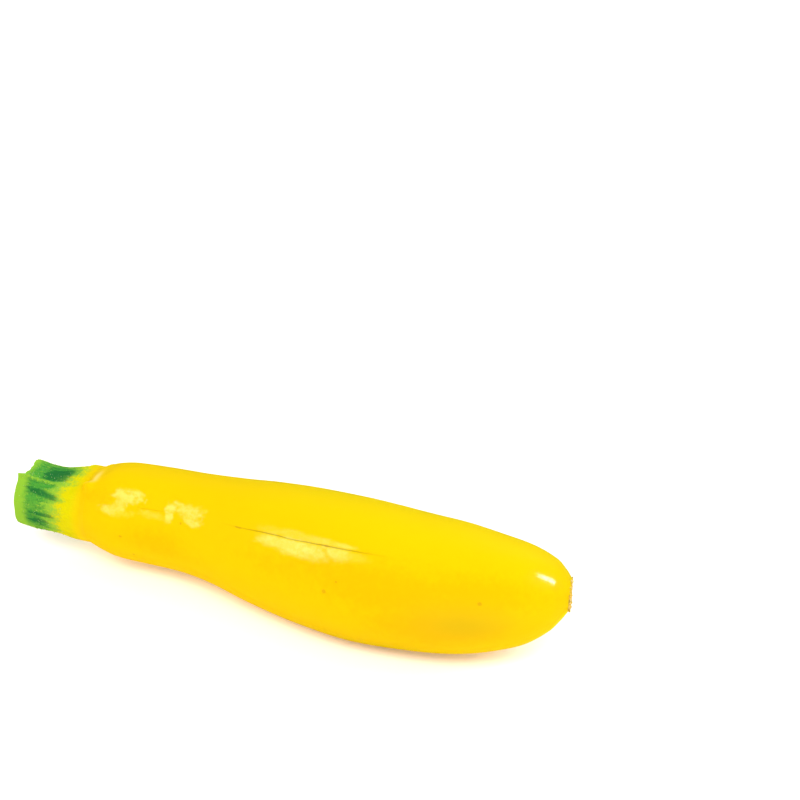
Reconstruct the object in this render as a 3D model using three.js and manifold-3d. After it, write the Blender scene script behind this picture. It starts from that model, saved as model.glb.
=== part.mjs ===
// A yellow summer squash, as picked: the fruit, its cut stem and the scar of its blossom.
// Millimetres, +Z up. The squash lies on its belly along +X, from the cut stem to the
// blossom end. The origin is the middle of its base: the centre of its outer box, on the
// surface it rests on.

import * as THREE from 'three';
import { mergeVertices } from 'three/addons/utils/BufferGeometryUtils.js';
import Module from 'manifold-3d';

// Driving dimensions. Distances along the squash are counted from the stem's cut.
const length = 176;             // from the cut to the blossom end
const crease = 25;              // where the stem enters the shoulder
const jointGap = 0.3;           // clearance between two pieces that touch
const fruitEnd = 174.2;         // where the skin stops, round the scar

// The centreline at even steps along the length: its bow to the side and its height.
const bow = [ 2.4, 3.0, 3.1, -0.2, -4.1, -3.2, 2.4 ];
const height = [ 17.4, 18.0, 18.5, 19.1, 20.4, 21.1, 22.4 ];

// Half-width of the fruit by distance: shoulder, neck, belly and the blunt blossom end.
const fruitOutline = [
	[ crease + jointGap, 12.4 ], [ 28, 13.7 ], [ 31, 14.4 ], [ 36, 15.0 ], [ 45, 15.3 ], [ 58, 15.7 ],
	[ 70, 16.9 ], [ 80, 18.4 ], [ 90, 19.6 ], [ 102, 20.5 ], [ 115, 20.9 ], [ 130, 20.2 ],
	[ 144, 18.9 ], [ 155, 16.7 ], [ 163.5, 14.1 ], [ 170, 10.3 ], [ fruitEnd, 5.7 ]
];
const fruitRings = 48;
const fruitSides = 40;

// Half-width of the stem by distance: flared cut, waist and the foot that meets the fruit.
const stemOutline = [ [ 0, 10.1 ], [ 3, 10.0 ], [ 9, 10.1 ], [ 15, 10.6 ], [ 21, 11.4 ], [ crease, 12.0 ] ];
const stemRings = 14;
const stemSides = 50;
const stemRidges = [ 24, 76, 128, 190, 250, 308 ];   // degrees round the stem, from the top
const ridgeStrength = 0.45;     // 0 is a round stem, 1 has quite flat faces
const cutSlant = 0.08;          // how far the cut runs back for each millimetre of height

// The corky scar: a shallow dished button on the blossom end.
const scarRadius = 4.6;
const scarFoot = fruitEnd + jointGap;
const scarRim = 1.2;            // height of its rim
const scarDish = 0.6;           // depth of its middle below the rim
const scarSides = 28;

const floorDepth = 4;           // how far below the rest plane the trimming block reaches

// Height of a smooth curve through evenly spaced values, at a share from 0 to 1 of its run.
function throughValues( values, share ) {

	const last = values.length - 1;
	const place = Math.min( Math.max( share, 0 ), 1 ) * last;
	const i = Math.min( Math.floor( place ), last - 1 );
	const f = place - i;
	const before = i > 0 ? values[ i - 1 ] : 2 * values[ 0 ] - values[ 1 ];
	const after = i + 2 <= last ? values[ i + 2 ] : 2 * values[ last ] - values[ last - 1 ];
	const bend = 2 * before - 5 * values[ i ] + 4 * values[ i + 1 ] - after;
	const twist = 3 * ( values[ i ] - values[ i + 1 ] ) + after - before;
	return values[ i ] + 0.5 * f * ( values[ i + 1 ] - before + f * ( bend + f * twist ) );

}

function centreAt( distance ) {

	const share = distance / length;
	return new THREE.Vector3( distance, throughValues( bow, share ), throughValues( height, share ) );

}

// Carries a shape turned about Y onto the bowed centreline, its Y becoming the distance.
function layAlongCentre( geometry ) {

	const step = 0.5;
	const up = new THREE.Vector3( 0, 0, 1 );
	const position = geometry.getAttribute( 'position' );

	for ( let i = 0; i < position.count; i ++ ) {

		const distance = position.getY( i );
		const along = centreAt( distance + step ).sub( centreAt( distance - step ) ).normalize();
		const side = new THREE.Vector3().crossVectors( up, along ).normalize();
		const rise = new THREE.Vector3().crossVectors( along, side );
		const point = centreAt( distance );
		point.addScaledVector( side, - position.getX( i ) ).addScaledVector( rise, position.getZ( i ) );
		position.setXYZ( i, point.x, point.y, point.z );

	}

	return geometry;

}

// Joins doubled corners and drops the slivers that a turned shape has on its axis.
function weld( geometry ) {

	geometry.deleteAttribute( 'normal' );
	geometry.deleteAttribute( 'uv' );
	const merged = mergeVertices( geometry, 1e-4 );
	const corners = merged.getIndex().array;
	const kept = [];

	for ( let i = 0; i < corners.length; i += 3 ) {

		const [ a, b, c ] = corners.slice( i, i + 3 );
		if ( a !== b && b !== c && c !== a ) kept.push( a, b, c );

	}

	merged.setIndex( kept );
	merged.computeVertexNormals();
	return merged;

}

function smoothOutline( stations, rings ) {

	const points = stations.map( ( [ distance, radius ] ) => new THREE.Vector2( radius, distance ) );
	return new THREE.SplineCurve( points ).getPoints( rings );

}

function makeFruit() {

	const side = smoothOutline( fruitOutline, fruitRings );
	const foot = new THREE.Vector2( 0, side[ 0 ].y );
	const tip = new THREE.Vector2( 0, side[ side.length - 1 ].y );
	return weld( layAlongCentre( new THREE.LatheGeometry( [ foot, ...side, tip ], fruitSides ) ) );

}

// Share of the full radius left at an angle round the stem, by the flat faces between ridges.
function ridgeShare( degrees ) {

	const turn = ( degrees % 360 + 360 ) % 360;
	const next = stemRidges.findIndex( ( ridge ) => ridge > turn );
	const high = next < 0 ? stemRidges[ 0 ] + 360 : stemRidges[ next ];
	const low = next > 0 ? stemRidges[ next - 1 ] : stemRidges[ stemRidges.length - 1 ] - ( next < 0 ? 0 : 360 );
	const half = THREE.MathUtils.degToRad( ( high - low ) / 2 );
	const off = THREE.MathUtils.degToRad( turn - ( high + low ) / 2 );
	const flat = Math.cos( half ) / Math.cos( off );
	return 1 + ridgeStrength * ( flat - Math.cos( half / 2 ) );

}

function makeStem() {

	const side = smoothOutline( stemOutline, stemRings );
	const cut = new THREE.Vector2( 0, side[ 0 ].y );
	const foot = new THREE.Vector2( 0, side[ side.length - 1 ].y );
	const geometry = new THREE.LatheGeometry( [ cut, ...side, foot ], stemSides );
	const position = geometry.getAttribute( 'position' );

	for ( let i = 0; i < position.count; i ++ ) {

		const [ x, distance, z ] = [ position.getX( i ), position.getY( i ), position.getZ( i ) ];
		const fade = 1 - distance / crease;
		const share = THREE.MathUtils.lerp( 1, ridgeShare( THREE.MathUtils.radToDeg( Math.atan2( x, z ) ) ), fade );
		position.setXYZ( i, x * share, distance + cutSlant * z * share * fade, z * share );

	}

	return weld( layAlongCentre( geometry ) );

}

function makeScar() {

	const rimAt = 0.8 * scarRadius;
	const dishAt = 0.45 * scarRadius;
	const outline = [
		new THREE.Vector2( 0, scarFoot ),
		new THREE.Vector2( scarRadius, scarFoot ),
		new THREE.Vector2( rimAt, scarFoot + scarRim ),
		new THREE.Vector2( dishAt, scarFoot + scarRim - scarDish ),
		new THREE.Vector2( 0, scarFoot + scarRim - scarDish )
	];
	return weld( layAlongCentre( new THREE.LatheGeometry( outline, scarSides ) ) );

}

const wasm = await Module();
wasm.setup();

function toSolid( geometry ) {

	return new wasm.Manifold( new wasm.Mesh( {
		numProp: 3,
		vertProperties: new Float32Array( geometry.getAttribute( 'position' ).array ),
		triVerts: new Uint32Array( geometry.getIndex().array )
	} ) );

}

function toGeometry( solid ) {

	const { vertProperties, triVerts } = solid.getMesh();
	const geometry = new THREE.BufferGeometry();
	geometry.setAttribute( 'position', new THREE.BufferAttribute( new Float32Array( vertProperties ), 3 ) );
	geometry.setIndex( new THREE.BufferAttribute( new Uint32Array( triVerts ), 1 ) );
	geometry.computeVertexNormals();
	return geometry;

}

// Takes off the sliver of the belly below the rest plane, which leaves its flat contact patch.
function restOnFloor( geometry ) {

	const block = new THREE.BoxGeometry( 2 * length, length, floorDepth );
	block.translate( length / 2, 0, - floorDepth / 2 );
	return toGeometry( toSolid( geometry ).subtract( toSolid( weld( block ) ) ) );

}

function addPiece( parent, name, geometry, look ) {

	const mesh = new THREE.Mesh( geometry, new THREE.MeshStandardMaterial( look ) );
	mesh.name = name;
	parent.add( mesh );

}

const squash = new THREE.Group();
addPiece( squash, 'fruit', restOnFloor( makeFruit() ), { color: 0xfcd808, roughness: 0.35, metalness: 0 } );
addPiece( squash, 'stem', makeStem(), { color: 0x4baa4b, roughness: 0.7, metalness: 0 } );
addPiece( squash, 'blossom_scar', makeScar(), { color: 0xc98f5a, roughness: 0.9, metalness: 0 } );

// The origin goes to the middle of the outer box, at the height the squash rests on.
const box = new THREE.Box3().setFromObject( squash );
squash.position.set( - ( box.min.x + box.max.x ) / 2, - ( box.min.y + box.max.y ) / 2, 0 );

const part = new THREE.Group();
part.add( squash );

export default part;
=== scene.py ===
import math

import bpy
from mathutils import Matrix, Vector


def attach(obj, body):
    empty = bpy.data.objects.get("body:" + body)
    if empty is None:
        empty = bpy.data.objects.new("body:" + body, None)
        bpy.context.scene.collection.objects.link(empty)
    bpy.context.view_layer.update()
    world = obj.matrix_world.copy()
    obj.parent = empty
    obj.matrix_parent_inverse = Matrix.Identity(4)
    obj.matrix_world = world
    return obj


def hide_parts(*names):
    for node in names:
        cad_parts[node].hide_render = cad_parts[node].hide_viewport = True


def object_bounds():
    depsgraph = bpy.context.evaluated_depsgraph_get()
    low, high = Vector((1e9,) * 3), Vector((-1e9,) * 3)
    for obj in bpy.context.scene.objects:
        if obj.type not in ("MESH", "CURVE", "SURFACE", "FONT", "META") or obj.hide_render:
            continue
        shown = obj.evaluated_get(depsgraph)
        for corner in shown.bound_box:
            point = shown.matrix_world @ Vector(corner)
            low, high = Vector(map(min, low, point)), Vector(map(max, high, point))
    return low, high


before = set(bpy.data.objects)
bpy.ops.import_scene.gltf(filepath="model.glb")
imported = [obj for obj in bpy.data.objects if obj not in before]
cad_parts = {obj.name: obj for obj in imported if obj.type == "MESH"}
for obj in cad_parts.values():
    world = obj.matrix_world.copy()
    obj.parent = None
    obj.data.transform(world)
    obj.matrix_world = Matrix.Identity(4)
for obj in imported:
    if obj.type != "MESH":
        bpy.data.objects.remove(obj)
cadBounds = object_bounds()

# Sizes are in millimetres of a squash this long over all. The frame's box says how long it
# really is, so everything follows the frame.
centreline = {
    "overall": 177.08,
    "inset": 0.807,  # from the end of the box to the middle of the stem's cut
    "length": 176.0,
    "side": [5.35, 5.95, 6.05, 2.75, -1.15, -0.25, 5.35],  # y at even steps along the length
    "height": [17.4, 18.0, 18.5, 19.1, 20.4, 21.1, 22.4],  # z at the same steps
    "joint": 25.0,  # distance at which the stem's piece ends and the fruit's begins
    "tip": 174.7,  # distance at which the skin ends, round the blossom's scar
}

low, high = cadBounds
mm = (high[0] - low[0]) / centreline["overall"]
cutAt = low[0] + centreline["inset"] * mm  # x where distances start


def throughValues(values, share):
    # smooth curve through evenly spaced values, at a share from 0 to 1 of its run
    last = len(values) - 1
    spot = min(max(share, 0.0), 1.0) * last
    i = min(int(spot), last - 1)
    f = spot - i
    before = values[i - 1] if i > 0 else 2 * values[0] - values[1]
    after = values[i + 2] if i + 2 <= last else 2 * values[last] - values[last - 1]
    bend = 2 * before - 5 * values[i] + 4 * values[i + 1] - after
    twist = 3 * (values[i] - values[i + 1]) + after - before
    return values[i] + 0.5 * f * (values[i + 1] - before + f * (bend + f * twist))


def centreAt(distance):
    share = distance / centreline["length"]
    side = throughValues(centreline["side"], share)
    height = throughValues(centreline["height"], share)
    return Vector((cutAt + distance * mm, side * mm, height * mm))


def aheadAt(distance):
    return (centreAt(distance + 0.5) - centreAt(distance - 0.5)).normalized()


def halfWidthAt(outline, distance):
    # half-width at a distance, on a smooth curve through unevenly spaced stations
    reach = [station[0] for station in outline]
    if distance <= reach[0]:
        return outline[0][1]
    if distance >= reach[-1]:
        return outline[-1][1]
    i = next(k for k in range(len(reach) - 1) if distance < reach[k + 1])
    (x0, y0), (x1, y1) = outline[i], outline[i + 1]
    slopes = []
    for k in (i, i + 1):
        a, b = outline[max(k - 1, 0)], outline[min(k + 1, len(outline) - 1)]
        slopes.append((b[1] - a[1]) / (b[0] - a[0]))
    run = x1 - x0
    t = (distance - x0) / run
    rise = y0 * (1 + 2 * t) * (1 - t) ** 2 + y1 * t * t * (3 - 2 * t)
    return rise + run * (slopes[0] * t * (1 - t) ** 2 - slopes[1] * t * t * (1 - t))


class Wire:
    # a socket of a node tree: sums written on it add the Math nodes they need
    def __init__(self, tree, socket=None):
        self.tree = tree
        self.socket = socket

    def node(self, kind, settings=None, values=None, output=0):
        made = self.tree.nodes.new(kind)
        for name, value in (settings or {}).items():
            setattr(made, name, value)
        for name, value in (values or {}).items():
            socket = made.inputs[name] if isinstance(name, int) else self.inputNamed(made, name)
            if isinstance(value, Wire):
                self.tree.links.new(value.socket, socket)
            else:
                socket.default_value = value
        return Wire(self.tree, made.outputs[output])

    def inputNamed(self, made, name):
        return next(s for s in made.inputs if s.enabled and name in (s.identifier, s.name))

    def math(self, operation, *values):
        return self.node("ShaderNodeMath", {"operation": operation}, dict(enumerate(values)))

    def __add__(self, other):
        return self.math("ADD", self, other)

    __radd__ = __add__

    def __sub__(self, other):
        return self.math("SUBTRACT", self, other)

    def __rsub__(self, other):
        return self.math("SUBTRACT", other, self)

    def __mul__(self, other):
        return self.math("MULTIPLY", self, other)

    __rmul__ = __mul__

    def __truediv__(self, other):
        return self.math("DIVIDE", self, other)

    def __pow__(self, other):
        return self.math("POWER", self, other)

    def larger(self, other):
        return self.math("MAXIMUM", self, other)

    def rise(self, start, end):
        # 0 before start, 1 after end, smooth between
        settings = {"interpolation_type": "SMOOTHSTEP"}
        values = {"Value": self, "From Min": start, "From Max": end}
        return self.node("ShaderNodeMapRange", settings, values)

    def between(self, fadeIn, fadeOut):
        # 1 from the end of one fade to the start of the other, 0 outside both
        return self.rise(*fadeIn) * (1 - self.rise(*fadeOut))

    def hump(self, middle, width):
        # 1 at the middle, fading to nothing on both sides
        off = (self - middle) / width
        return self.math("EXPONENT", off * off * -1.0)

    def vectorMath(self, operation, *values):
        return self.node("ShaderNodeVectorMath", {"operation": operation}, dict(enumerate(values)))

    def scaled(self, factor):
        values = {0: self, "Scale": factor}
        return self.node("ShaderNodeVectorMath", {"operation": "SCALE"}, values)

    def moved(self, way, length):
        return self.vectorMath("ADD", self, way.scaled(length))

    def axis(self, index):
        return self.node("ShaderNodeSeparateXYZ", None, {0: self}, index)

    def noise(self, size, detail=2.0, roughness=0.5, stretch=(1, 1, 1), seed=0.0):
        # soft noise from about -0.5 to 0.5, its grains this many millimetres wide
        grain = self.vectorMath("MULTIPLY", self, tuple(s / (size * mm) for s in stretch))
        grain = grain.vectorMath("ADD", grain, (seed, seed, seed))
        values = {"Vector": grain, "Scale": 1.0, "Detail": detail, "Roughness": roughness}
        return self.node("ShaderNodeTexNoise", None, values) - 0.5


def mixColours(factor, first, second):
    def prepared(colour):
        return colour if isinstance(colour, Wire) else (*colour, 1.0)

    values = {"Factor_Float": factor, "A_Color": prepared(first), "B_Color": prepared(second)}
    return factor.node("ShaderNodeMix", {"data_type": "RGBA"}, values, 2)


class Surface:
    # a point of the skin: its distance from the cut in mm, the angle round the centreline in
    # degrees, from the top over the front, and its place in space
    def __init__(self, distance, spoke, place):
        self.distance = distance
        self.spoke = spoke
        self.place = place
        front = spoke.axis(1) * -1.0
        self.angle = front.math("ARCTAN2", front, spoke.axis(2)) * (180 / math.pi)

    def turnFrom(self, degrees):
        # signed degrees between this point and a line at an angle
        return self.angle.math("WRAP", self.angle - degrees, 180.0, -180.0)

    def awayFrom(self, degrees):
        turn = self.turnFrom(degrees)
        return turn.math("ABSOLUTE", turn)

    def facing(self, degrees):
        # 1 on the side at an angle, -1 on the side opposite
        return self.angle.math("COSINE", (self.angle - degrees) * (math.pi / 180))

    def noise(self, *grain, **more):
        return self.place.noise(*grain, **more)

    def lump(self, spot):
        # 1 at a spot, fading away: distance, half-length in mm, angle, half-width in degrees
        distance, halfLength, angle, halfWidth = spot
        return self.distance.hump(distance, halfLength) * self.turnFrom(angle).hump(0, halfWidth)

    def lumps(self, spots):
        # all of them together, each with its height as the last value
        return sum(self.lump(spot) * height for *spot, height in spots)

    def blot(self, spot, ragged=0.4, grain=3.0, soft=0.3):
        # 1 inside an oval patch, 0 outside; spot is distance, angle, half-length, half-width
        distance, angle, halfLength, halfWidth = spot
        girth = math.pi / 180 * halfWidthAt(fruitShape["outline"], distance)
        along = (self.distance - distance) / halfLength
        across = self.turnFrom(angle) * (girth / halfWidth)
        reach = (along * along + across * across) ** 0.5 + self.noise(grain, 3) * ragged * 2
        return 1 - reach.rise(1.1 - soft, 1.1 + soft * 0.3)


def mostOf(fields):
    most = fields[0]
    for field in fields[1:]:
        most = most.larger(field)
    return most


crease = {
    "start": (80, 43.2),  # distance and angle of two points of its line
    "end": (127, 37.6),
    "wander": 2.5,  # degrees
    "deep": ((71, 93), (112, 129)),  # distances over which it deepens, and fades away
    "faint": ((42, 45), (50, 54)),  # the same of a faint stretch on the neck
    "faintness": 0.4,
    "fruitHalf": 20.0,  # half-width of the fruit where it runs, mm
    "width": 0.3,
    "depth": 0.10,
    "lip": 0.04,  # mm that the skin stands up on both sides of it
    "crowding": 0.6,  # how far the skin's points gather towards it, from 0 to 1
    "crowdAt": 41.0,  # angle at which they do
}

stemShape = {
    "outline": [  # distance and half-width, from which the ridges' hollows are cut
        (-0.5, 9.5), (1, 9.7), (3, 9.9), (6, 10.05), (9, 10.0), (12, 10.1), (15, 10.6), (18, 11.1),
        (21, 11.5), (24, 11.85), (27, 12.2), (31, 12.0), (36, 10.5), (42, 6.0), (48, 0.0),
    ],
    # the sharp top ridge, in degrees: where it runs, how far it bulges and curls, and where in mm
    "topRidge": {
        "angle": 24.0, "bulge": 3.5, "bulgeAt": (12.5, 5), "curl": -60.0, "curlAt": (18.2, 20.8),
    },
    "ridges": [(76, 0.3), (128, 0.9), (190, 1.0), (250, 1.0), (308, 1.0)],  # degrees, strength
    "ridgeHalf": 38.0,  # half-width in degrees
    "ridgeSharpness": 1.35,
    "ridgeHeight": 0.115,  # share of the half-width
    # distances over which the ridges sink into the shoulder, and by how much: less on top
    "ridgeFade": {"over": (12, 26), "by": 0.8, "top": -18, "topEnds": (30, 60), "less": 0.5},
    # a ridge's crest stands up as a thin line: mm, half-width in degrees, and where it fades away
    "beading": {"height": 0.22, "half": 3.0, "fade": (17, 22)},
    "fibres": (1.5, 0.6),  # lengthwise fibres: width and height in mm
    "pits": (1.0, 0.35),
    "rough": ((1.5, 4.0), (18, 24)),  # distances over which both begin, and end
    # where it stands out: distance, half-length in mm, angle, half-width in degrees, height in mm
    "lumps": [
        (0, 5.5, -20, 40, 1.0), (1, 3.6, -36, 24, 0.95), (0.5, 3.2, 20, 9, 1.2),
        (0, 3, 118, 14, 0.35), (13, 8, -42, 28, 0.62), (20.3, 3, -40, 25, 0.35),
        (9, 9, 128, 70, 1.05), (20.5, 3.5, 130, 45, 0.4), (9, 9, -52, 70, -0.6),
    ],
    "sides": 230,  # points round it
    "rings": 130,  # along it
    "faceRings": 26,
    "faceShare": 0.96,  # of the half-width, up to where the edge is rounded
    "faceDish": [0.9, 0.86, 0.78, 0.66, 0.5, 0.3, 0.1, -0.14],  # mm, from the middle to the edge
    # the torn part of the cut: degrees between which it is torn, mm that it lies back, and a tooth
    # that stands out in it and a notch beside it (angle, half-width in degrees, mm)
    "tear": {
        "between": (-130, 23), "back": 2.7, "tooth": (-40, 36, 1.0), "notch": (30, 12, 0.4),
        "jags": (1.6, 1.6), "waves": (5, 0.6),  # width and height in mm
    },
    "prickles": {
        "number": 0.6,  # to a square mm
        "between": ((0.5, 1.5), (12, 20)),  # distances over which they begin, and end
        "radius": 0.12, "height": 0.35,  # mm
        "sizes": (0.4, 1.1),  # shares of both
        "corners": 5,
    },
}

fruitShape = {
    "outline": [  # distance and half-width
        (21, 5.0), (23, 10.3), (24.5, 12.0), (26, 12.9), (28, 13.7), (30, 14.15), (33, 14.7),
        (36, 15.0), (45, 15.3), (58, 15.7), (70, 16.9), (80, 18.45), (90, 19.65), (102, 20.5),
        (115, 20.95), (130, 20.2), (144, 18.95), (155, 16.7), (163.5, 14.1), (170, 10.25),
        (173.0, 7.0), (174.7, 4.5),
    ],
    # as the stem's
    "lumps": [(27, 2.4, -6, 22, -1.1), (23.6, 2.4, 29, 7, 2.6), (27.5, 3.5, 125, 35, -0.5)],
    "sides": 300,
    "rings": 290,
    "ringCrowding": 1.5,  # 1 for even rings
    "closingRings": 8,
    "ribs": 5,
    "ribsFrom": 22,  # angle of the first
    "ribHeight": 0.2,
    "ribFade": ((40, 120), 0.6),  # distances over which the ribs grow lower, and by how much
    "waves": (34, 0.4),  # width and height in mm
    "dents": (9, 0.14),
    "wrinkles": (2.2, 0.16),
    "wrinkled": (61, 43, 7.0, 4.5),  # their patch: distance, angle, half-length, half-width
    "calm": (25, 36),  # distances over which ribs, waves and dents begin
    # how softly it joins the stem, in mm: more so at the front
    "join": {"soft": 0.3, "frontSoft": 2.6, "front": 76, "frontEnds": (40, 56)},
    # the shoulder's edge over the stem's top: it slants towards the cut at the front, by mm over
    # degrees, and it ends at some degrees to each side of its angle
    "edge": {"distance": 26.5, "slant": 3.0, "slants": (20, 34), "angle": -3, "ends": (22, 34)},
    "lip": 0.35,  # mm that it stands up
    "lean": (-30, 0.085),  # degrees towards which the blossom end leans ahead, and its slope
    "leanOver": (158, 174),  # distances over which the leaning begins
}

scarShape = {
    "share": 1.08,  # its half-width as a share of the blossom end's
    "lean": (135, 0.06),  # degrees towards which it stands up more, and its slope
    "standsOff": 0.2,  # mm that the nubs' ring stands proud of the skin's end
    "foot": 0.9,  # mm that it goes into the fruit
    "dish": [-0.1, -0.2, -0.1, 0.1, 0.25, 0.25, -0.2],  # mm of height, from the middle to the rim
    "cork": 0.25,  # share of the cork's grain that shows in its height
    "sides": 132,
    "rings": 44,
    "nubs": {
        "number": 24,
        "radius": 0.4,
        "ring": 0.93,  # share of the scar's half-width
        "shift": ((-0.45, -0.45, -0.45), (0.45, 0.45, 0.1)),  # mm, at least and at most
        "sizes": ((0.6, 0.6, 0.4), (1.5, 1.3, 0.9)),  # shares of the radius
        "spin": ((0.0, 0.0, 0.0), (0.5, 0.5, 6.0)),  # radians
    },
}


def creaseOffset(surface):
    # mm across the growth crease, and how strongly it shows at that distance
    (d0, a0), (d1, a1) = crease["start"], crease["end"]
    lineAngle = (surface.distance - d0) * ((a1 - a0) / (d1 - d0)) + a0
    turn = surface.turnFrom(lineAngle + surface.noise(14, 3) * crease["wander"])
    deep = surface.distance.between(*crease["deep"])
    faint = surface.distance.between(*crease["faint"]) * crease["faintness"]
    return turn * (math.pi / 180 * crease["fruitHalf"]), deep.larger(faint)


def topRidgeTurn(surface):
    # signed degrees from the sharp top ridge, which curls over the top near the shoulder
    ridge = stemShape["topRidge"]
    line = surface.distance.hump(*ridge["bulgeAt"]) * ridge["bulge"] + ridge["angle"]
    line = line + surface.distance.rise(*ridge["curlAt"]) * ridge["curl"]
    return surface.turnFrom(line)


def ridgeCrest(surface):
    # 1 on the crest of a ridge of the stem, 0 in the hollow between two
    half = stemShape["ridgeHalf"]
    turn = topRidgeTurn(surface)
    crests = [(1 - turn.math("ABSOLUTE", turn) / half).larger(0.0)]
    for degrees, strength in stemShape["ridges"]:
        crests.append((1 - surface.awayFrom(degrees) / half).larger(0.0) * strength)
    return mostOf(crests) ** stemShape["ridgeSharpness"]


def ridgeLines(surface, topLine, half):
    # 1 on the lines of the stem's ridges: the top one's is given, the others' half-width is
    # in degrees
    lines = [topLine]
    for degrees, strength in stemShape["ridges"]:
        lines.append(surface.turnFrom(degrees).hump(0, half) * strength)
    return mostOf(lines)


def bodyRadius(surface, stemHalf, fruitHalf):
    # half-width of stem and fruit together in mm: the larger of the two, softly joined
    sink, join = stemShape["ridgeFade"], fruitShape["join"]
    top = 1 - surface.awayFrom(sink["top"]).rise(*sink["topEnds"])
    fade = 1 - surface.distance.rise(*sink["over"]) * (sink["by"] - top * sink["less"])
    hollow = (1 - ridgeCrest(surface)) * stemShape["ridgeHeight"] * fade
    stem = stemHalf * (1 - hollow) + surface.lumps(stemShape["lumps"])
    fruit = fruitHalf + surface.lumps(fruitShape["lumps"])
    front = 1 - surface.awayFrom(join["front"]).rise(*join["frontEnds"])
    soft = front * join["frontSoft"] + join["soft"]
    return stem.node("ShaderNodeMath", {"operation": "SMOOTH_MAX"}, {0: stem, 1: fruit, 2: soft})


def lipAt(surface):
    # mm from a point to the shoulder's edge, and how strongly the edge shows there
    edge = fruitShape["edge"]
    line = edge["distance"] - surface.angle.rise(*edge["slants"]) * edge["slant"]
    return surface.distance - line, 1 - surface.awayFrom(edge["angle"]).rise(*edge["ends"])


def skinRelief(surface):
    # mm that the fruit's skin stands proud of its smooth outline
    swing = (surface.angle - fruitShape["ribsFrom"]) * (fruitShape["ribs"] * math.pi / 180)
    ribs = swing.math("COSINE", swing)
    over, by = fruitShape["ribFade"]
    ribs = ribs * (1 - surface.distance.rise(*over) * by) * fruitShape["ribHeight"]
    waveSize, waveHeight = fruitShape["waves"]
    waves = surface.noise(waveSize, 1, stretch=(0.6, 1, 1)) * 2 * waveHeight
    dentSize, dentDepth = fruitShape["dents"]
    dents = surface.noise(dentSize, 2, stretch=(0.5, 1, 1)) * 2 * dentDepth
    broad = (ribs + waves + dents) * surface.distance.rise(*fruitShape["calm"])
    wrinkleSize, wrinkleHeight = fruitShape["wrinkles"]
    rough = surface.blot(fruitShape["wrinkled"], 0.3, 6.0)
    wrinkles = surface.noise(wrinkleSize, 3, 0.6) * rough * wrinkleHeight
    across, shows = creaseOffset(surface)
    groove = across.hump(0, crease["width"]) * crease["depth"]
    lips = across.hump(0, crease["width"] * 4) * crease["lip"]
    off, lip = lipAt(surface)
    return broad + wrinkles + (lips - groove) * shows + off.hump(0, 1.0) * lip * fruitShape["lip"]


def stemRelief(surface):
    # mm that the stem's skin stands out: lengthwise fibres, pits, thin crests on the ridges
    (fibreSize, fibreHeight), (pitSize, pitHeight) = stemShape["fibres"], stemShape["pits"]
    fibres = surface.noise(fibreSize, 3, 0.55, stretch=(0.12, 1, 1)) * fibreHeight
    pits = surface.noise(pitSize, 2, 0.6) * pitHeight
    bead = stemShape["beading"]
    crests = ridgeLines(surface, topRidgeTurn(surface).hump(0, bead["half"]), bead["half"])
    crests = crests * bead["height"] * (1 - surface.distance.rise(*bead["fade"]))
    return (fibres + pits) * surface.distance.between(*stemShape["rough"]) + crests


def cutBack(surface, inner):
    # mm that the cut lies behind its foremost point, evening out towards the face's middle
    tear = stemShape["tear"]
    first, last = tear["between"]
    middle, half = (first + last) / 2, (last - first) / 2
    torn = 1 - surface.awayFrom(middle).rise(half - 1.0, half + 1.0)
    far = 1 - surface.awayFrom(first).rise(5, 45)
    (jagSize, jagHeight), (waveSize, waveHeight) = tear["jags"], tear["waves"]
    jag = surface.noise(jagSize, 3, 0.6, stretch=(0, 1, 1)) * jagHeight
    shallow = surface.noise(waveSize, 2, stretch=(0, 1, 1)) * waveHeight
    (toothAt, toothHalf, tooth), (notchAt, notchHalf, notch) = tear["tooth"], tear["notch"]
    deep = tear["back"] - surface.turnFrom(toothAt).hump(0, toothHalf) * tooth
    back = torn.larger(far) * deep + jag * (torn * 0.75 + 0.12) + shallow
    back = back - 0.5 + surface.turnFrom(notchAt).hump(0, notchHalf) * notch * (1 - torn)
    even = inner.rise(0.1, 0.95)
    return (back * even + (1 - even) * 0.8) * (1 - surface.distance.rise(0, 14))


def faceRelief(surface, reach, inner):
    # mm that the cut face stands out: soft lumps, fibre ends and a ring of bundles
    lumps = surface.noise(2.4, 3, 0.6) * 0.9 + surface.noise(0.7, 2, 0.6) * 0.35
    ring = inner.hump(0.74, 0.07) * surface.noise(1.3, 1, seed=7.0) * 1.2
    return (lumps + ring) * (1 - inner.rise(0.85, 0.96))


def lean(surface, reach, inner=None):
    # mm that the blossom end leans ahead on one side
    toward, slope = fruitShape["lean"]
    over = surface.distance.rise(*fruitShape["leanOver"])
    return surface.facing(toward) * reach * slope * over


def scarEdge(surface):
    # mm that the scar's outline stands out
    return surface.noise(1.7, 2, 0.6) * 1.4 + surface.noise(0.6, 2, 0.6) * 0.5


def scarRelief(surface, reach, inner):
    # mm that the cork stands up, tilted with the blossom end
    cork = surface.noise(1.3, 3, 0.65) * 1.6 + surface.noise(0.5, 2, 0.6) * 0.7
    toward, slope = scarShape["lean"]
    tilt = surface.facing(toward) * reach * slope
    return cork * scarShape["cork"] * inner.rise(-0.02, 0.1) + lean(surface, reach) + tilt


def newTree(name, inputs):
    tree = bpy.data.node_groups.new(name, "GeometryNodeTree")
    tree.interface.new_socket("Geometry", in_out="INPUT", socket_type="NodeSocketGeometry")
    for label, kind in inputs:
        tree.interface.new_socket(label, in_out="INPUT", socket_type="NodeSocket" + kind)
    tree.interface.new_socket("Geometry", in_out="OUTPUT", socket_type="NodeSocketGeometry")
    return tree, Wire(tree), tree.nodes.new("NodeGroupInput")


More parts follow.
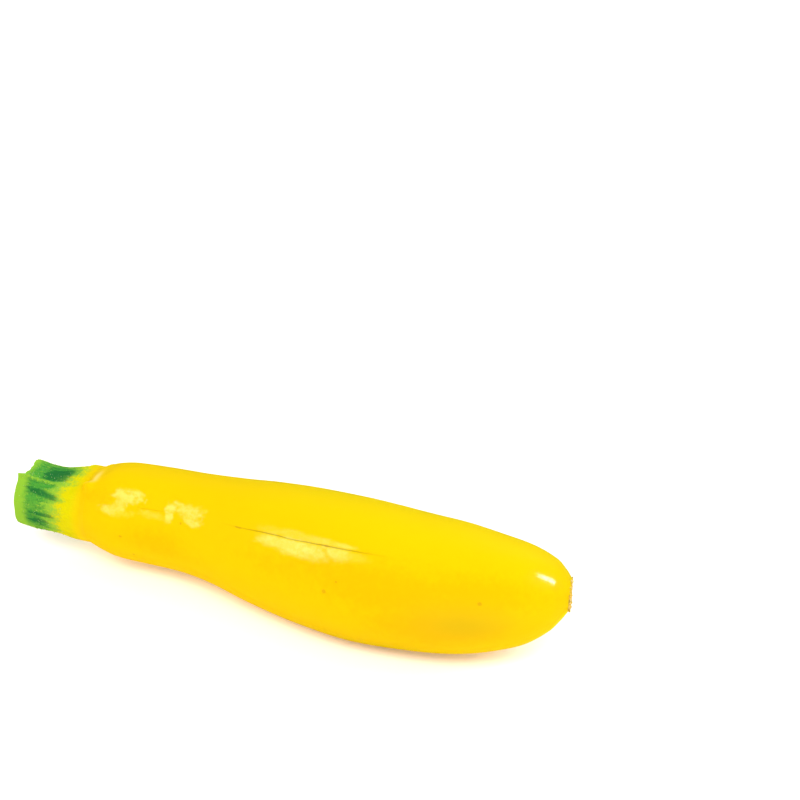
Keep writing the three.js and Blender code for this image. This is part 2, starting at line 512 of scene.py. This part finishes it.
def runTree(piece, tree, sizes):
    # runs a geometry tree on a piece and keeps the result as a plain mesh
    modifier = piece.modifiers.new(tree.name, "NODES")
    modifier.node_group = tree
    for item in tree.interface.items_tree:
        if item.in_out == "INPUT" and item.name in sizes:
            modifier[item.identifier] = sizes[item.name]
    depsgraph = bpy.context.evaluated_depsgraph_get()
    made = bpy.data.meshes.new_from_object(piece.evaluated_get(depsgraph), depsgraph=depsgraph)
    piece.modifiers.clear()
    piece.data = made
    made.name = piece.name


def addObject(name, data):
    made = bpy.data.objects.new(name, data)
    bpy.context.scene.collection.objects.link(made)
    return made


def makeSpine(name, stations):
    # a chain of points for the tree to sweep along; a station is distance, share of the width
    # and shift ahead of its place, and stations at one distance are kept a hair apart
    hair = 0.005  # mm
    points, centres, aheads = [], [], []
    for i, (distance, share, shift) in enumerate(stations):
        ahead = aheadAt(distance)
        repeats = sum(1 for earlier in stations[:i] if earlier[0] == distance)
        points.append(centreAt(distance) + ahead * repeats * hair * mm)
        centres.extend(centreAt(distance) + ahead * shift * mm)
        aheads.extend(ahead)
    mesh = bpy.data.meshes.new(name)
    mesh.from_pydata(points, [(i, i + 1) for i in range(len(points) - 1)], [])
    fields = {
        "distance": [d for d, share, shift in stations],
        "stemHalf": [halfWidthAt(stemShape["outline"], d) for d, share, shift in stations],
        "fruitHalf": [halfWidthAt(fruitShape["outline"], d) for d, share, shift in stations],
        "inner": [share for d, share, shift in stations],
    }
    for label, values in fields.items():
        mesh.attributes.new(label, "FLOAT", "POINT").data.foreach_set("value", values)
    for label, values in (("centre", centres), ("ahead", aheads)):
        mesh.attributes.new(label, "FLOAT_VECTOR", "POINT").data.foreach_set("vector", values)
    return mesh


def endOfFruit():
    # middle of the blossom end, and the way it looks
    tip = centreline["tip"]
    ahead = aheadAt(tip)
    tilted = ahead
    for toward, slope in (fruitShape["lean"], scarShape["lean"]):
        a = math.radians(toward)
        tilted = tilted - Vector((0, -math.sin(a), math.cos(a))) * slope
    return centreAt(tip) + ahead * scarShape["standsOff"] * mm, tilted.normalized()


def evenly(start, end, count):
    return [start + (end - start) * i / (count - 1) for i in range(count)]


def randomBetween(board, least, most, seed):
    # a random number or a random vector for each point
    isVector = isinstance(least, tuple)
    settings = {"data_type": "FLOAT_VECTOR" if isVector else "FLOAT"}
    values = {"Min": least, "Max": most, "Seed": seed}
    return board.node("FunctionNodeRandomValue", settings, values, 0 if isVector else 1)


def finishTree(board, geometry, given):
    # shared end of the trees: sharp corners, smooth faces, plain mesh, material
    sharp = 1.0  # radians between two faces
    angle = board.node("GeometryNodeInputMeshEdgeAngle")
    corner = board.node("FunctionNodeCompare", {"operation": "GREATER_THAN"}, {0: angle, 1: sharp})
    values = {"Geometry": geometry, "Shade Smooth": True}
    geometry = board.node("GeometryNodeSetShadeSmooth", None, values)
    values = {"Geometry": geometry, "Selection": corner, "Shade Smooth": False}
    geometry = board.node("GeometryNodeSetShadeSmooth", {"domain": "EDGE"}, values)
    geometry = board.node("GeometryNodeRealizeInstances", None, {"Geometry": geometry})
    values = {"Geometry": geometry, "Material": Wire(board.tree, given.outputs["Material"])}
    geometry = board.node("GeometryNodeSetMaterial", None, values)
    board.tree.links.new(geometry.socket, board.tree.nodes.new("NodeGroupOutput").inputs[0])


def sweepTree(name, relief, setBack=None, raised=None, gatherAt=None, grow=None):
    # sweeps a round section along the spine, then gives it the body's shape and its relief
    tree, board, given = newTree(name, [("Sides", "Int"), ("Material", "Material")])

    def named(label, kind="FLOAT"):
        return board.node("GeometryNodeInputNamedAttribute", {"data_type": kind}, {"Name": label})

    def store(geometry, label, kind, value):
        settings = {"data_type": kind, "domain": "POINT"}
        values = {"Geometry": geometry, "Name": label, "Value": value}
        return board.node("GeometryNodeStoreNamedAttribute", settings, values)

    place = board.node("GeometryNodeInputPosition")
    chain = store(Wire(tree, given.outputs["Geometry"]), "hub", "FLOAT_VECTOR", place)
    path = board.node("GeometryNodeMeshToCurve", None, {"Mesh": chain})
    path = board.node("GeometryNodeSetCurveNormal", {"mode": "Z_UP"}, {"Curve": path})
    sides = Wire(tree, given.outputs["Sides"])
    ring = board.node("GeometryNodeCurvePrimitiveCircle", None, {"Resolution": sides, "Radius": mm})
    tube = board.node("GeometryNodeCurveToMesh", None, {"Curve": path, "Profile Curve": ring})

    centre, ahead = named("centre", "FLOAT_VECTOR"), named("ahead", "FLOAT_VECTOR")
    outward = place.vectorMath("SUBTRACT", place, named("hub", "FLOAT_VECTOR"))
    outward = outward.vectorMath("NORMALIZE", outward)
    if gatherAt:
        turn = Surface(named("distance"), outward, place).turnFrom(gatherAt) * (math.pi / 180)
        turn = turn.math("SINE", turn) * -crease["crowding"]
        values = {"Vector": outward, "Axis": ahead, "Angle": turn}
        outward = board.node("ShaderNodeVectorRotate", {"rotation_type": "AXIS_ANGLE"}, values)
    tube = store(tube, "spoke", "FLOAT_VECTOR", outward)

    spoke = named("spoke", "FLOAT_VECTOR")
    surface = Surface(named("distance"), spoke, place)
    radius = bodyRadius(surface, named("stemHalf"), named("fruitHalf"))
    shaped = centre.moved(spoke, radius * mm)
    if setBack:
        back = setBack(Surface(named("distance"), spoke, shaped), named("inner"))
        tube = store(tube, "back", "FLOAT", back)
        tube = store(tube, "distance", "FLOAT", surface.distance + named("back"))
        shaped = shaped.moved(ahead, named("back") * mm)
    proud = relief(Surface(named("distance"), spoke, shaped))
    reach = (radius + proud) * named("inner")
    final = centre.moved(spoke, reach * mm)
    if setBack:
        final = final.moved(ahead, named("back") * mm)
    if raised:
        height = raised(Surface(named("distance"), spoke, final), reach, named("inner"))
        final = final.moved(ahead, height * mm)
    grounded = {"X": final.axis(0), "Y": final.axis(1), "Z": final.axis(2).larger(0.0)}
    final = board.node("ShaderNodeCombineXYZ", None, grounded)
    body = board.node("GeometryNodeSetPosition", None, {"Geometry": tube, "Position": final})
    near = 0.004 * mm  # rings of no width close to a point
    body = board.node("GeometryNodeMergeByDistance", None, {"Geometry": body, "Distance": near})
    if grow:
        grown = grow(body, Surface(named("distance"), spoke, place), store)
        body = board.node("GeometryNodeJoinGeometry", None, {"Geometry": body})
        tree.links.new(grown.socket, body.socket.node.inputs[0])
    finishTree(board, body, given)
    return tree


def growPrickles(body, surface, store):
    # tiny pale cones on the stem, most of them on its ridges
    wanted = stemShape["prickles"]
    shows = surface.distance.between(*wanted["between"])
    density = (ridgeCrest(surface) * 0.9 + 0.1) * shows * (wanted["number"] / mm**2)
    values = {"Mesh": body, "Density": density, "Seed": 0}
    points = body.node("GeometryNodeDistributePointsOnFaces", None, values)
    turn = Wire(body.tree, points.socket.node.outputs["Rotation"])
    points = store(points, "pale", "FLOAT", 1.0)
    values = {
        "Vertices": wanted["corners"],
        "Radius Top": 0.0,
        "Radius Bottom": wanted["radius"] * mm,
        "Depth": wanted["height"] * mm,
    }
    cone = body.node("GeometryNodeMeshCone", None, values)
    size = randomBetween(body, *wanted["sizes"], seed=3)
    values = {"Points": points, "Instance": cone, "Rotation": turn, "Scale": size}
    return body.node("GeometryNodeInstanceOnPoints", None, values)


def growNubs(body, surface, store):
    # a ring of corky nubs round the scar's rim
    wanted = scarShape["nubs"]
    half = fruitShape["outline"][-1][1] * scarShape["share"] * wanted["ring"] * mm
    ring = body.node("GeometryNodeMeshCircle", None, {"Vertices": wanted["number"], "Radius": half})
    points = body.node("GeometryNodeMeshToPoints", None, {"Mesh": ring})
    shift = randomBetween(body, *wanted["shift"], seed=5).scaled(mm)
    points = body.node("GeometryNodeSetPosition", None, {"Geometry": points, "Offset": shift})
    points = store(points, "pale", "FLOAT", randomBetween(body, 0.0, 1.0, seed=8))
    points = store(points, "distance", "FLOAT", centreline["tip"])
    points = store(points, "inner", "FLOAT", 0.95)
    values = {"Radius": wanted["radius"] * mm, "Subdivisions": 2}
    ball = body.node("GeometryNodeMeshIcoSphere", None, values)
    size = randomBetween(body, *wanted["sizes"], seed=2)
    spin = randomBetween(body, *wanted["spin"], seed=4)
    values = {"Points": points, "Instance": ball, "Rotation": spin, "Scale": size}
    nubs = body.node("GeometryNodeInstanceOnPoints", None, values)
    nubs = body.node("GeometryNodeRealizeInstances", None, {"Geometry": nubs})
    # from a level ring to the blossom end, which looks along the centreline
    end, ahead = endOfFruit()
    turn = ahead.to_track_quat("Z", "Y").to_euler()
    values = {"Geometry": nubs, "Translation": end, "Rotation": turn}
    return body.node("GeometryNodeTransform", None, values)


def newMaterial(name):
    material = bpy.data.materials.new(name)
    material.use_nodes = True
    place = Wire(material.node_tree).node("ShaderNodeTexCoord", None, None, "Object")
    return material, material.node_tree.nodes["Principled BSDF"], place


def storedField(wire, label, output="Fac"):
    # what the geometry tree stored with each point
    return wire.node("ShaderNodeAttribute", {"attribute_name": label}, None, output)


def squashMaterial(name):
    # a material whose patterns follow the skin
    material, shader, place = newMaterial(name)
    distance, spoke = storedField(place, "distance"), storedField(place, "spoke", "Vector")
    return material, shader, Surface(distance, spoke, place)


def plug(shader, **inputs):
    # values go on the shader's own sockets, fields are linked to them
    for label, value in inputs.items():
        socket = next(s for s in shader.inputs if s.name.replace(" ", "") == label)
        if isinstance(value, Wire):
            value.tree.links.new(value.socket, socket)
        else:
            socket.default_value = value


flesh = {  # how far light soaks into skin and stem
    "weight": 0.1,
    "radius": (0.9, 0.55, 0.1),
    "scale": 2.0,  # mm
}


def soften(shader):
    plug(
        shader,
        SubsurfaceWeight=flesh["weight"], SubsurfaceRadius=flesh["radius"],
        SubsurfaceScale=flesh["scale"] * mm,
    )


def bumpFrom(height, bump):
    values = {"Strength": bump["Strength"], "Distance": bump["Distance"] * mm, "Height": height}
    return height.node("ShaderNodeBump", None, values)


skin = {
    # lemon: partly the skin's own tone, partly painted light, as the top is lighter
    "lemon": (0.564, 0.4155, 0.00045),
    "yellow": (0.576, 0.399, 0.00045),
    "golden": (0.588, 0.351, 0.00045),
    # golden patches: distance, half-length in mm, angle, half-width in degrees, strength
    "goldenPatches": [
        (128, 32, 62, 24, 0.95), (52, 16, 86, 24, 0.8), (98, 22, 66, 20, 0.6),
        # the one at 29 mm is painted bounce light, more orange in the hollow where the shoulder
        # meets the stem
        (140, 18, 92, 20, 1.0), (150, 22, 58, 28, 0.9), (29, 6, 42, 20, 0.5),
        (128, 36, 270, 40, 0.8), (60, 24, 230, 40, 0.7),
    ],
    "front": 75,  # angle of the middle of the front
    "frontEnds": (25, 75),  # degrees to each side of it over which its yellow ends
    "neckEnds": (62, 100),  # distances over which the neck's yellow ends
    "under": (0.75, 0.558, 0.0012),  # the side it lay on is paler: partly the skin's own ground spot, partly painted bounce light from the floor
    "underAt": (152, 38),  # angle and half-width in degrees
    "underHides": (122, 30, 0.85),  # where it shows less, leaving painted contact shade on the belly's underside: distance, half-length, share
    "creaseColour": (0.2143, 0.1607, 0.002679),
    "speckColour": (0.2949, 0.1544, 0.00702),
    "olive": (0.4875, 0.33, 0.0042),  # painted dark reflection: the front of the belly's far end is darker olive
    "oliveAt": (148, 14, 86, 19),  # distance, half-length, angle, half-width in degrees
    "bloom": (0.5775, 0.5775, 0.02475),  # lighter where wax lies on it: partly wax bloom, partly painted highlight
    "bloomEnds": (140, 160),  # distances over which the wax bloom and painted highlight stop colouring it
    "backWax": 0.45,  # strength of the broad dull wax on the back
    "backBegins": (92, 112),  # degrees from the front's middle
    "cream": (0.6669, 0.5055, 0.1123),  # painted highlight along the shoulder's edge
    "specks": [  # distance, angle, half-length and half-width in mm
        (38.6, 85, 0.6, 0.35), (42.1, 110, 0.5, 0.4), (59.3, 55, 0.4, 0.4),
        (80.0, 43.5, 1.2, 0.3), (110, 39.4, 0.8, 0.4), (111.7, 75, 0.6, 0.6),
        (114.6, 65, 0.35, 0.35), (151.6, 65, 0.6, 0.5), (64, 200, 0.5, 0.5),
        (98, 250, 0.6, 0.5), (133, 300, 0.45, 0.45),
    ],
    "waxPatches": [  # distance, angle, half-length and half-width in mm, strength
        (39.5, 36, 5.5, 2.3, 0.8), (36.5, 57, 5.5, 1.7, 0.7), (38, 47, 2.6, 2.0, 0.6),
        (54.3, 47, 1.5, 3.0, 0.8), (57, 36, 2.6, 1.0, 0.7), (62, 40, 5.0, 2.0, 0.7),
        (63.5, 50, 3.2, 1.6, 0.7), (49, 53, 5.0, 1.2, 0.35), (93, 46.8, 6.0, 2.0, 0.85),
        (102, 46.3, 10.0, 2.7, 1.0), (91, 38.0, 5.0, 1.5, 0.3), (99, 36.6, 6.0, 1.4, 0.45),
        (107, 36.4, 5.5, 1.2, 0.5), (114.5, 36.3, 3.6, 0.8, 0.65), (113.5, 43.6, 4.0, 2.2, 0.8),
        (118, 43.4, 4.5, 1.5, 0.35), (167.8, 34, 4.8, 2.8, 1.0),
    ],
    "roughness": 0.5,
    "waxSmooths": 0.12,  # how much lower the roughness is under full wax
    "waxRoughness": 0.14,
    "gloss": 0.01,
    "bump": {"Strength": 0.35, "Distance": 0.12},  # distance in mm
}


def skinColour(surface):
    # lemon on top, lighter there partly as painted top light; yellow on the front and the neck,
    # golden in patches with a fine mottle
    broad = surface.noise(30, 2, stretch=(0.7, 1, 1))
    front = 1 - (surface.awayFrom(skin["front"]) + broad * 40.0).rise(*skin["frontEnds"])
    neck = 1 - (surface.distance + broad * 30.0).rise(*skin["neckEnds"])
    colour = mixColours(front.larger(neck), skin["lemon"], skin["yellow"])
    golden = mostOf([surface.lump(spot) * strength for *spot, strength in skin["goldenPatches"]])
    mottle = surface.noise(3.0, 3, 0.6) + surface.noise(1.2, 2, 0.6) * 0.7
    golden = (golden + broad * 0.6 + mottle * 0.75).rise(0.1, 0.95)
    colour = mixColours(golden, colour, skin["golden"])
    angle, half = skin["underAt"]
    distance, halfLength, share = skin["underHides"]
    # paler underside, partly painted bounce light from the floor
    under = 1 - surface.distance.hump(distance, halfLength) * share
    # held back where the belly rests on the floor, as painted contact shade
    colour = mixColours(surface.turnFrom(angle).hump(0, half) * under, colour, skin["under"])
    # painted dark reflection on the front of the belly's far end
    colour = mixColours(surface.lump(skin["oliveAt"]), colour, skin["olive"])
    off, lip = lipAt(surface)
    # painted highlight along the shoulder's edge, on its lit upper side
    lip = off.hump(-0.4, 1.0) * lip * surface.turnFrom(13).hump(0, 14)
    return mixColours(lip * 0.9, colour, skin["cream"])


def waxOn(surface):
    # wax lies on the skin in patches with ragged edges and small gaps, and broadly on the back
    patches = []
    for *spot, strength in skin["waxPatches"]:
        ragged, soft = (0.9, 0.35) if spot[0] < 70 else (0.6, 0.75)  # neck, belly
        patches.append(surface.blot(spot, ragged, 1.6, soft) * strength)
    cloudy = surface.noise(11, 3, 0.55, stretch=(0.5, 1, 1)).rise(0.0, 0.12)
    back = cloudy * skin["backWax"] * surface.awayFrom(skin["front"]).rise(*skin["backBegins"])
    gaps = (surface.noise(0.5, 2, 0.6) + surface.noise(1.7, 2, 0.5)).rise(-0.16, 0.10)
    gaps = gaps.larger(surface.distance.rise(66, 84) * 0.35)
    return mostOf(patches).larger(back) * (gaps * 0.7 + 0.3) * 0.9


def skinMaterial():
    material, shader, surface = squashMaterial("squashSkin")
    colour = skinColour(surface)
    across, shows = creaseOffset(surface)
    line = across.hump(0, crease["width"] * 0.65) * shows
    colour = mixColours(line * 0.85, colour, skin["creaseColour"])
    specks = mostOf([surface.blot(spot, 0.5, 0.8) for spot in skin["specks"]])
    colour = mixColours(specks * 0.4, colour, skin["speckColour"])
    wax = waxOn(surface)
    # painted highlight, partly wax bloom: the wax patches lighten the colour
    highlightWhitens = (1 - surface.distance.rise(*skin["bloomEnds"])) * 0.45
    colour = mixColours(wax * highlightWhitens, colour, skin["bloom"])
    rough = skin["roughness"] - wax * skin["waxSmooths"]
    fine = surface.noise(0.9, 2, 0.6) + surface.noise(2.6, 2, 0.5) * 1.6
    plug(
        shader,
        BaseColor=colour, Roughness=rough, Normal=bumpFrom(fine, skin["bump"]),
        SpecularIORLevel=skin["gloss"], CoatWeight=wax, CoatRoughness=skin["waxRoughness"],
    )
    soften(shader)
    return material


stemLook = {
    "rim": (0.1851, 0.3852, 0.02596),
    "green": (0.05012, 0.2493, 0.02808),
    "dark": (0.01263, 0.1229, 0.02387),
    "lime": (0.1926, 0.379, 0.02808),
    "yellow": (0.4755, 0.462, 0.001052),
    "prickle": (0.4212, 0.5055, 0.2456),
    "cutFace": (0.4353, 0.5055, 0.2106),
    "cutEdge": (0.2106, 0.351, 0.0702),
    "rimEnds": (1.6, 4.6),  # distances over which the pale rim of the cut ends
    "greenEnd": 14.0,  # distance at which green gives way to yellow
    "skinBegins": (18.5, 24),  # distances over which the fruit's own colour begins
    # tongues of green that reach farther: angle, half-width in degrees, mm
    "reaches": [
        (-8, 26, 6.0), (29, 9, 3.3), (57, 8, 1.6), (160, 14, 3), (220, 20, 4), (280, 20, 4),
    ],
    # dark streaks: start and end as distance and angle, half-width in degrees, strength; the
    # facet is the dark part of the top, above the sharp ridge
    "facet": ((7.3, 3), (17.0, 9), 30, 1.2),
    "streaks": [
        ((1.5, 41), (10, 49), 12, 0.62), ((4, 45), (15.5, 58), 7.0, 0.98),
        ((3, 90), (14.5, 94), 5.0, 0.85), ((3, 104), (12, 113), 12, 0.66),
        ((4, 158), (16, 160), 12, 0.9), ((4, 220), (18, 222), 18, 1.0),
        ((5, 279), (18, 279), 18, 1.0),
    ],
    "roughness": (0.6, 0.5),  # on the green and past it
    "smoothens": (14, 24),  # distances over which it changes
    "gloss": 0.015,
    "bump": {"Strength": 0.6, "Distance": 0.2},  # distance in mm
}


def streakField(surface, streak):
    (d0, a0), (d1, a1), halfWidth, strength = streak
    line = (surface.distance - d0) * ((a1 - a0) / (d1 - d0)) + a0
    shows = surface.distance.between((d0 - 2.5, d0 + 3), (d1 - 3, d1 + 2))
    return surface.turnFrom(line).hump(0, halfWidth) * shows * strength


def stemColour(surface):
    # dark streaks and pale ridges on green, a pale rim, then lime, yellow and the fruit's colour
    streak = surface.noise(1.3, 3, 0.6, stretch=(0.14, 1, 1))
    fleck = surface.noise(0.6, 2, 0.7)
    turn = topRidgeTurn(surface)
    facet = streakField(surface, stemLook["facet"]) * (1 - turn.rise(-2.5, 0.5))
    dark = mostOf([facet] + [streakField(surface, one) for one in stemLook["streaks"]])
    dark = (dark + (streak * 2.2 + fleck * 1.8) * dark.rise(0.05, 0.4)).rise(0.25, 0.85)
    pale = ridgeLines(surface, turn.hump(2, 3.0), 12.0)
    speckle = (fleck * 1.2 + streak).rise(-0.02, 0.2)
    shade = surface.noise(1.1, 3, 0.65, stretch=(0.16, 1, 1), seed=4.0)
    shade = (shade + surface.noise(0.5, 2, 0.7, seed=9.0)).rise(0.0, 0.17)
    colour = mixColours(pale * 0.6 + speckle * 0.6, stemLook["green"], stemLook["lime"])
    colour = mixColours(dark.larger(shade * 0.55), colour, stemLook["dark"])
    rim = 1 - (surface.distance + streak * 4.0).rise(*stemLook["rimEnds"])
    colour = mixColours(rim, colour, stemLook["rim"])
    reach = surface.distance + streak * 9.0 + fleck * 8.0 - stemLook["greenEnd"]
    for angle, halfWidth, length in stemLook["reaches"]:
        reach = reach - surface.turnFrom(angle).hump(0, halfWidth) * length
    colour = mixColours(reach.rise(-6.0, -1.5) * (1 - dark * 0.8), colour, stemLook["lime"])
    colour = mixColours(reach.rise(-2.0, 3.0), colour, stemLook["yellow"])
    hairs = storedField(surface.place, "pale")
    colour = mixColours(hairs * 0.5, colour, stemLook["prickle"])
    fruitward = surface.distance.rise(*stemLook["skinBegins"])
    colour = mixColours(fruitward, colour, skinColour(surface))
    out = storedField(surface.place, "inner")  # 0 in the middle of the cut face, 1 from its edge on
    face = mixColours(out.rise(0.7, 0.95), stemLook["cutFace"], stemLook["cutEdge"])
    return mixColours(1 - out.rise(0.93, 0.985), colour, face)


def stemGrain(surface):
    # height of the fibres, fainter at the cut and on the way to the fruit
    fibres = surface.noise(0.9, 3, 0.6, stretch=(0.15, 1, 1)) * 1.5
    height = surface.noise(0.5, 2, 0.6) + fibres
    height = height * (1 - surface.distance.rise(*stemShape["rough"][1]) * 0.85)
    return height * (surface.distance.rise(*stemShape["rough"][0]) * 0.8 + 0.2)


def stemMaterial():
    material, shader, surface = squashMaterial("stemGreen")
    green, past = stemLook["roughness"]
    rough = green - surface.distance.rise(*stemLook["smoothens"]) * (green - past)
    plug(
        shader,
        BaseColor=stemColour(surface), Roughness=rough, SpecularIORLevel=stemLook["gloss"],
        Normal=bumpFrom(stemGrain(surface), stemLook["bump"]),
    )
    soften(shader)
    return material


scarLook = {
    "tan": (0.6294, 0.4019, 0.06696),
    "pale": (0.6669, 0.5055, 0.1824),
    "brown": (0.3617, 0.2544, 0.02411),
    "roughness": 0.8,
    "gloss": 0.03,
    "bump": {"Strength": 0.6, "Distance": 0.15},  # distance in mm
}


def scarMaterial():
    material, shader, surface = squashMaterial("scarCork")
    grain = surface.noise(1.1, 3, 0.65)
    fine = surface.noise(0.4, 2, 0.6)
    nub = storedField(surface.place, "pale")
    colour = mixColours((grain + fine * 0.6).rise(-0.15, 0.15), scarLook["brown"], scarLook["tan"])
    colour = mixColours(nub.rise(0.3, 0.9), colour, scarLook["pale"])
    plug(
        shader,
        BaseColor=colour, Roughness=scarLook["roughness"], SpecularIORLevel=scarLook["gloss"],
        Normal=bumpFrom(fine + grain, scarLook["bump"]),
    )
    return material


def sweepPiece(name, stations, tree, sides, material):
    piece = addObject(name, makeSpine(name, stations))
    runTree(piece, tree, {"Sides": sides, "Material": material})
    return piece


def makeFruit():
    # rings crowd towards the round blossom end, and the last ones close it
    start, tip, closing = centreline["joint"], centreline["tip"], fruitShape["closingRings"]
    shares = [1 - (1 - t) ** fruitShape["ringCrowding"] for t in evenly(0, 1, fruitShape["rings"])]
    stations = [(start, 0.0, -0.03), (start, 0.5, -0.02), (start, 0.96, -0.01)]
    stations += [(start + (tip - start) * share, 1.0, 0.0) for share in shares]
    stations += [(tip, 1 - i / closing, -0.12 * i) for i in range(1, closing + 1)]
    tree = sweepTree("squashBody", skinRelief, raised=lean, gatherAt=crease["crowdAt"])
    return sweepPiece("fruit_body", stations, tree, fruitShape["sides"], skinMaterial())


def makeStem():
    # the first rings make the cut face and round its edge, the last ones close the far end
    end, flat = centreline["joint"], stemShape["faceShare"]
    dish = stemShape["faceDish"]
    shares = evenly(0, flat, stemShape["faceRings"])
    stations = [(0.0, share, throughValues(dish, share / flat)) for share in shares]
    stations += [(0.0, 0.975, -0.14), (0.0, 0.992, -0.08)]
    stations += [(d, 1.0, 0.0) for d in evenly(0, end, stemShape["rings"])]
    stations += [(end, 0.96, 0.01), (end, 0.5, 0.02), (end, 0.0, 0.03)]
    tree = sweepTree("stemStalk", stemRelief, setBack=cutBack, raised=faceRelief, grow=growPrickles)
    return sweepPiece("stem_stalk", stations, tree, stemShape["sides"], stemMaterial())


def makeScar():
    # a flat foot hidden in the fruit, then the rim and the dished middle
    tip, share, foot = centreline["tip"], scarShape["share"], -scarShape["foot"]
    stations = [(tip, share * i / 6, foot) for i in range(6)] + [(tip, share * 0.97, foot + 0.1)]
    for t in evenly(1, 0, scarShape["rings"]):
        stations.append((tip, share * t, throughValues(scarShape["dish"], t)))
    tree = sweepTree("blossomScar", scarEdge, raised=scarRelief, grow=growNubs)
    return sweepPiece("scar_disc", stations, tree, scarShape["sides"], scarMaterial())


print("building the fruit")
fruit = makeFruit()
print("building the stem")
stem = makeStem()
print("building the blossom scar")
scar = makeScar()
made = [
    (fruit, "fruit", "fruit_skin"),
    (stem, "stem", "stem_green"),
    (scar, "blossom_scar", "scar_cork"),
]
for piece, node, slot in made:
    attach(piece, "root")
    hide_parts(node)


view = {
    "azimuth": 19.5,  # degrees from the front towards the blossom end
    "elevation": 32.0,
    "distance": 557.9,  # mm
    "fieldOfView": 24.0,  # degrees
    "across": -0.2954,  # where the squash's middle lies in the frame, from -1 to 1
    "up": -0.3724,
}

studio = {
    "sky": 0.733,  # strength of the even white light all round
    "away": 0.9,  # metres from the squash to each light
    "white": (1.0, 1.0, 1.0),
    "warm": (1.0, 0.3, 0.03),
    # direction, width and height in metres, watts, colour, whether it lights the squash, and
    # whether it shows in its gloss
    "softboxes": [
        ((-0.58, -0.52, 0.63), (0.46, 0.78), 4.9, "white", False, True),
        ((-0.58, -0.52, 0.63), (0.46, 0.78), 2.0, "white", True, False),
        ((0.785, 0.155, 0.49), (0.15, 0.43), 4.8, "white", False, True),
        ((0.785, 0.155, 0.49), (0.15, 0.43), 3.2, "white", True, False),
        ((-0.3, 0.7, 0.65), (0.60, 0.60), 2.87, "white", True, False),
        ((0.25, 0.75, 0.55), (0.30, 0.60), 3.5, "white", False, True),
        ((-0.55, -0.78, 0.3), (0.60, 0.30), 1.6, "warm", True, False),
        ((0.12, -0.59, 0.80), (0.9, 0.3), 7.2, "white", True, False),
    ],
}


def directionOf(azimuth, elevation):
    a, e = math.radians(azimuth), math.radians(elevation)
    return Vector((math.sin(a) * math.cos(e), -math.cos(a) * math.cos(e), math.sin(e)))


def makeCamera():
    back = directionOf(view["azimuth"], view["elevation"])
    right = directionOf(view["azimuth"] + 90, 0)
    up = back.cross(right)
    middle = (Vector(low) + Vector(high)) / 2
    half = math.tan(math.radians(view["fieldOfView"] / 2)) * view["distance"] * mm
    camera = addObject("camera", bpy.data.cameras.new("camera"))
    camera.data.sensor_fit = "HORIZONTAL"
    camera.data.angle = math.radians(view["fieldOfView"])
    camera.data.clip_start = 0.01
    aside = right * view["across"] + up * view["up"]
    camera.location = middle + back * view["distance"] * mm - aside * half
    camera.rotation_euler = back.to_track_quat("Z", "Y").to_euler()
    bpy.context.scene.camera = camera


boardLook = {
    "edge": 3.0,  # metres from the middle
    "colour": (0.98, 0.89, 0.85, 1),
    "roughness": 0.9,
    "glow": (0.11, 0.11, 0.11),
    "farGlow": (0.5, 0.5, 0.5),  # past the reach of the softboxes, so that it stays as white
    "glowRises": (0.6, 1.6),  # metres from the middle
}


def makeFloor():
    mesh = bpy.data.meshes.new("floor")
    edge = boardLook["edge"]
    corners = [(-edge, -edge, 0), (edge, -edge, 0), (edge, edge, 0), (-edge, edge, 0)]
    mesh.from_pydata(corners, [], [(0, 1, 2, 3)])
    floor = addObject("floor", mesh)
    floor.visible_glossy = False
    material, shader, place = newMaterial("whiteBoard")
    reach = place.node("ShaderNodeVectorMath", {"operation": "LENGTH"}, {0: place}, "Value")
    glow = mixColours(reach.rise(*boardLook["glowRises"]), boardLook["glow"], boardLook["farGlow"])
    plug(
        shader,
        BaseColor=boardLook["colour"], Roughness=boardLook["roughness"], SpecularIORLevel=0.0,
        EmissionColor=glow, EmissionStrength=1.0,
    )
    mesh.materials.append(material)


def softbox(toward, size, power, colour, lights, inGloss):
    data = bpy.data.lights.new("softbox", "AREA")
    data.energy = power
    data.color = studio[colour]
    data.shape = "RECTANGLE"
    data.size, data.size_y = size
    light = addObject("softbox", data)
    light.location = Vector(toward).normalized() * studio["away"]
    light.rotation_euler = Vector(toward).to_track_quat("Z", "Y").to_euler()
    light.visible_diffuse = lights
    light.visible_glossy = inGloss


def makeLight():
    for box in studio["softboxes"]:
        softbox(*box)
    world = bpy.data.worlds.new("studio")
    world.use_nodes = True
    sky = world.node_tree.nodes["Background"]
    sky.inputs["Color"].default_value = (1, 1, 1, 1)
    sky.inputs["Strength"].default_value = studio["sky"]
    world.cycles_visibility.glossy = False
    bpy.context.scene.world = world


print("placing floor, light and camera")
makeFloor()
makeLight()
makeCamera()
bpy.context.scene.view_settings.view_transform = "Standard"
